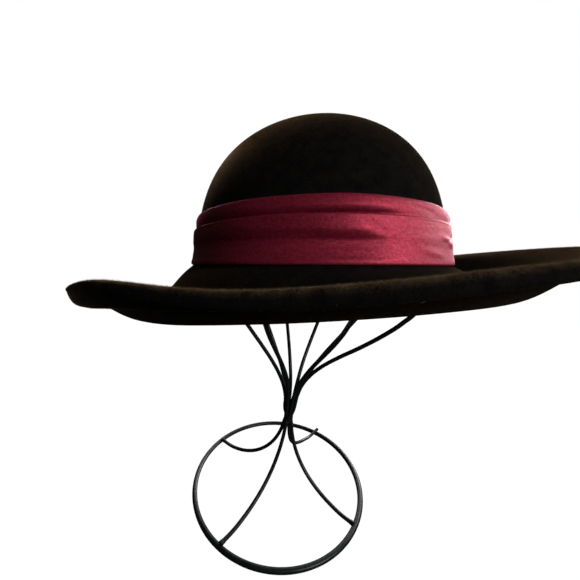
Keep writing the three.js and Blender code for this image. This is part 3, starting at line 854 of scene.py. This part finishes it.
def mixed_colour(tree, factor, dark, light):
    blend = add(tree, "ShaderNodeMix", data_type="RGBA")
    tree.links.new(factor, blend.inputs[0])
    blend.inputs[6].default_value = (*dark, 1)
    blend.inputs[7].default_value = (*light, 1)
    return blend.outputs[2]


def surface(name, **constants):
    """A new material, with constants for its shader's inputs by name."""
    material = bpy.data.materials.new(name)
    material.use_nodes = True
    shader = material.node_tree.nodes["Principled BSDF"]
    for key, value in constants.items():
        shader.inputs[key.replace("_", " ").title().replace("Ior", "IOR")].default_value = value
    return material, material.node_tree, shader


def felt_material(grain, name, sheen):
    material, tree, shader = surface(
        name, roughness=0.95, specular_ior_level=0.0, sheen_weight=sheen, sheen_roughness=0.25,
        sheen_tint=(1.0, 0.6, 0.28, 1))
    place = add(tree, "ShaderNodeTexCoord")
    detail = add(tree, "ShaderNodeGroup", {
        "Vector": place.outputs["Object"], "Mottle Scale": 160.0, "Grain Scale": 900.0}, node_tree=grain)
    colour = mixed_colour(tree, detail.outputs["Mask"], (0.004, 0.0038, 0.004), (0.0125, 0.0108, 0.0098))
    # This attribute mixes in a pale brown: rubbed wear and painted highlight on the ridge, painted
    # highlights at the raw edge and nick, painted light on the left tip.
    wear_and_painted_light = add(tree, "ShaderNodeAttribute", attribute_name="wear_and_painted_light")
    patchy = add(tree, "ShaderNodeMath", {0: wear_and_painted_light.outputs["Fac"], 1: detail.outputs["Mask"]},
                 operation="MULTIPLY")
    wear_and_light_colour = add(tree, "ShaderNodeMix", {0: patchy.outputs["Value"], 6: colour, 7: (0.17, 0.108, 0.06, 1)},
                 data_type="RGBA")
    tree.links.new(wear_and_light_colour.outputs[2], shader.inputs["Base Color"])
    relief = add(tree, "ShaderNodeBump", {
        "Height": detail.outputs["Height"], "Strength": 0.6, "Distance": 0.0006})
    tree.links.new(relief.outputs["Normal"], shader.inputs["Normal"])
    return material


def nap_material(grain):
    """Hairs of the felt: single fibres are lighter and browner than the mass of them."""
    material, tree, shader = surface("brown_nap", roughness=0.8, specular_ior_level=0.1)
    place = add(tree, "ShaderNodeTexCoord")
    detail = add(tree, "ShaderNodeGroup", {
        "Vector": place.outputs["Object"], "Mottle Scale": 220.0, "Grain Scale": 1200.0}, node_tree=grain)
    colour = mixed_colour(tree, detail.outputs["Mask"], (0.04, 0.027, 0.012), (0.2, 0.13, 0.06))
    tree.links.new(colour, shader.inputs["Base Color"])
    return material


def satin_material(grain, weave):
    material, tree, shader = surface(
        "burgundy_satin", specular_ior_level=0.4, specular_tint=(1.0, 0.8, 0.86, 1), metallic=0.5)
    place = add(tree, "ShaderNodeTexCoord")
    detail = add(tree, "ShaderNodeGroup", {
        "Vector": place.outputs["UV"], "Mottle Scale": 500.0, "Grain Scale": 800.0}, node_tree=grain)
    threads = add(tree, "ShaderNodeGroup", {
        "Vector": place.outputs["UV"], "Thread Scale": 900.0}, node_tree=weave)
    colour = mixed_colour(tree, detail.outputs["Mask"], (0.24, 0.012, 0.03), (0.54, 0.036, 0.082))
    tree.links.new(colour, shader.inputs["Base Color"])
    rough = add(tree, "ShaderNodeMapRange", {
        "Value": threads.outputs["Mask"], "From Min": 0.3, "From Max": 0.7, "To Min": 0.38, "To Max": 0.58})
    tree.links.new(rough.outputs["Result"], shader.inputs["Roughness"])
    grainy = add(tree, "ShaderNodeBump", {
        "Height": detail.outputs["Height"], "Strength": 0.5, "Distance": 0.00035})
    relief = add(tree, "ShaderNodeBump", {
        "Height": threads.outputs["Height"], "Strength": 0.35, "Distance": 0.00006,
        "Normal": grainy.outputs["Normal"]})
    tree.links.new(relief.outputs["Normal"], shader.inputs["Normal"])
    return material


def paint_material(grain):
    material, tree, shader = surface("black_paint", specular_ior_level=0.3)
    place = add(tree, "ShaderNodeTexCoord")
    detail = add(tree, "ShaderNodeGroup", {
        "Vector": place.outputs["Object"], "Mottle Scale": 70.0, "Grain Scale": 700.0}, node_tree=grain)
    colour = mixed_colour(tree, detail.outputs["Mask"], (0.004, 0.0055, 0.005), (0.012, 0.016, 0.014))
    tree.links.new(colour, shader.inputs["Base Color"])
    rough = add(tree, "ShaderNodeMapRange", {
        "Value": detail.outputs["Mask"], "To Min": 0.3, "To Max": 0.5})
    tree.links.new(rough.outputs["Result"], shader.inputs["Roughness"])
    relief = add(tree, "ShaderNodeBump", {
        "Height": detail.outputs["Height"], "Strength": 0.2, "Distance": 0.0002})
    tree.links.new(relief.outputs["Normal"], shader.inputs["Normal"])
    return material


# ---- camera, floor and light ----

# Place (mm) from the stand's axis, angles (degrees) and lens (mm).
CAMERA = {"back": 234.0, "height": 243.1, "pitch": 12.8, "roll": 5.6, "yaw": -1.7, "lens": 17.88}


def set_camera():
    data = bpy.data.cameras.new("camera")
    data.lens = CAMERA["lens"]
    data.sensor_width = 36.0
    data.clip_start, data.clip_end = 0.005, 50.0
    camera = bpy.data.objects.new("camera", data)
    bpy.context.scene.collection.objects.link(camera)
    pitch, roll, yaw = (math.radians(CAMERA[k]) for k in ("pitch", "roll", "yaw"))
    ahead = Vector((math.sin(yaw), math.cos(yaw), 0))
    right = Vector((math.cos(yaw), -math.sin(yaw), 0))
    up = Vector((0, 0, 1))
    forward = ahead * math.cos(pitch) - up * math.sin(pitch)
    upward = ahead * math.sin(pitch) + up * math.cos(pitch)
    side = right * math.cos(roll) + upward * math.sin(roll)
    top = -right * math.sin(roll) + upward * math.cos(roll)
    turn = Matrix((side, top, -forward)).transposed()
    spot = Vector(in_frame((0, -CAMERA["back"], CAMERA["height"])))
    camera.matrix_world = Matrix.Translation(spot) @ turn.to_4x4()
    bpy.context.scene.camera = camera


def seen_or_lit(tree, seen, lit):
    """A shader that shows itself to the camera in one way and lights the rest in another."""
    ray = add(tree, "ShaderNodeLightPath")
    mix = add(tree, "ShaderNodeMixShader", {0: ray.outputs["Is Camera Ray"]})
    tree.links.new(lit, mix.inputs[1])
    tree.links.new(seen, mix.inputs[2])
    return mix.outputs["Shader"]


def set_floor():
    half = 4.0
    floor = mesh_object("floor", [(-half, -half, 0), (half, -half, 0), (half, half, 0), (-half, half, 0)],
                        [(0, 1, 2, 3)])
    material = bpy.data.materials.new("pale_floor")
    material.use_nodes = True
    tree = material.node_tree
    tree.nodes.remove(tree.nodes["Principled BSDF"])
    matt = add(tree, "ShaderNodeBsdfDiffuse", {"Color": (0.03, 0.03, 0.03, 1)})
    glow = add(tree, "ShaderNodeEmission", {"Color": (1, 1, 1, 1), "Strength": 1.0})
    bright = add(tree, "ShaderNodeAddShader", {0: matt.outputs["BSDF"], 1: glow.outputs["Emission"]})
    tree.links.new(seen_or_lit(tree, bright.outputs["Shader"], matt.outputs["BSDF"]),
                   tree.nodes["Material Output"].inputs["Surface"])
    floor.data.materials.append(material)


def set_world():
    world = bpy.data.worlds.new("studio")
    world.use_nodes = True
    tree = world.node_tree
    tree.nodes.remove(tree.nodes["Background"])
    seen = add(tree, "ShaderNodeBackground", {"Color": (1, 1, 1, 1), "Strength": 1.0})
    lit = add(tree, "ShaderNodeBackground", {"Color": (1, 1, 1, 1), "Strength": 0.03})
    tree.links.new(seen_or_lit(tree, seen.outputs["Background"], lit.outputs["Background"]),
                   tree.nodes["World Output"].inputs["Surface"])
    bpy.context.scene.world = world


MIDDLE, LEFT_TIP = (0, 0, 0.22), (-0.16, 0, 0.2)
# name, place (m), aim (m), size (m), power (W), spread (degrees)
LIGHTS = [
    ("rim_right", (0.58, 0.94, 0.5), MIDDLE, 0.5, 15.0, 180),
    ("key_right", (0.95, 0.35, 0.62), MIDDLE, 0.45, 4.0, 180),
    ("key_front", (0.76, -0.7, 0.62), MIDDLE, 0.3, 7.0, 180),
    ("top_back", (-0.35, 0.95, 0.75), MIDDLE, 0.7, 5.5, 180),
    ("low_left", (-0.33, -0.05, 0.012), LEFT_TIP, 0.1, 0.55, 50),
]


def set_lights():
    for name, place, aim, size, power, spread in LIGHTS:
        data = bpy.data.lights.new(name, "AREA")
        data.size = size
        data.energy = power
        data.spread = math.radians(spread)
        lamp = bpy.data.objects.new(name, data)
        lamp.location = place
        lamp.rotation_mode = "QUATERNION"
        lamp.rotation_quaternion = (Vector(aim) - Vector(place)).to_track_quat("-Z", "Y")
        bpy.context.scene.collection.objects.link(lamp)


# ---- assembly ----

def placed(piece, slot, *nodes):
    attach(piece, "root")
    if nodes:
        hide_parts(*nodes)
    return piece


set_camera()
set_world()
set_floor()
set_lights()

GRAIN = grain_group()
# The second felt, with less sheen, is a shaded copy for the cuff's face and the under side.
FELT_LOOKS = felt_material(GRAIN, "lit_felt", 0.17), felt_material(GRAIN, "shaded_felt", 0.03)
SATIN_LOOK = satin_material(GRAIN, weave_group())
PAINT_LOOK = paint_material(GRAIN)
ROUND_WIRE = wire_tree()

hat = felt_hat()
for look in FELT_LOOKS:
    hat.data.materials.append(look)
shade_under_side(hat)
add_wear_and_painted_light(hat)
placed(hat, "felt", "hat_body")
placed(felt_nap(hat, nap_material(GRAIN)), "felt")

band = satin_band()
band.data.materials.append(SATIN_LOOK)
placed(band, "satin", "satin_band")

ring = wire_piece("ring_wire", ring_course(), RING_WIRE, PAINT_LOOK, True, ring_fullness(RING_TURNS))
placed(ring, "black_wire", "base_ring")
for number, leg in enumerate(LEGS, 1):
    course = leg_course(leg)
    wire = wire_piece(f"leg_wire_{number}", course, WIRE, PAINT_LOOK, False, leg_fullness(leg, course))
    placed(wire, "black_wire", f"stand_leg_{number}")
for number, rib in enumerate(RIBS):
    placed(wire_piece(f"rib_wire_{number + 1}", rib_course(number, rib), WIRE, PAINT_LOOK),
           "black_wire", f"stand_rib_{number + 1}")
for name in ("neck_weld", "rib_hub"):
    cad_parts[name].data.materials.clear()
    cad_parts[name].data.materials.append(PAINT_LOOK)

bpy.context.scene.view_settings.view_transform = "Standard"
